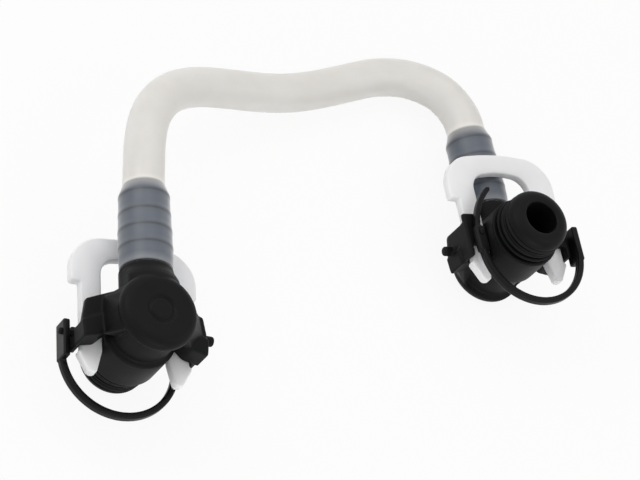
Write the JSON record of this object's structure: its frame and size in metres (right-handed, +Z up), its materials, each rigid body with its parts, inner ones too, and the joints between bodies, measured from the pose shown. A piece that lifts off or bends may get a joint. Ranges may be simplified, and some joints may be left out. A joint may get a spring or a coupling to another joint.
{
  "type": "fuel line",
  "caption": "Formed translucent fuel hose between black right-angle push connectors with white sliding lock clips, seal rings and captive straps.",
  "frame": {"origin": "centre of the right connector's round cap face, on the ground it stands on", "axes": "+Z up, along the right connector's nozzle; +Y from the left connector along its hose end; +X from left connector to right"},
  "size_m": [0.169, 0.1427, 0.0375],
  "materials": {
    "hose": "milky translucent",
    "connector": "satin moulded",
    "clip": "milky moulded",
    "strap": "satin",
    "seal": "matt"
  },
  "bodies": {
    "line": {"hose": "hose", "left_elbow_body": "connector", "right_elbow_body": "connector", "left_seal_ring_front": "seal", "left_seal_ring_rear": "seal", "right_seal_ring_front": "seal", "right_seal_ring_rear": "seal", "left_retaining_strap": "strap", "right_retaining_strap": "strap"},
    "left_clip": {"left_locking_clip": "clip"},
    "right_clip": {"right_locking_clip": "clip"}
  },
  "joints": [
    {"name": "left_clip_slide", "type": "slide", "parent": "line", "child": "left_clip", "axis": [0, -1, 0], "range_m": [0, 0.0085]},
    {"name": "right_clip_slide", "type": "slide", "parent": "line", "child": "right_clip", "axis": [0.1599, -0.9871, 0], "range_m": [0, 0.0085]}
  ]
}
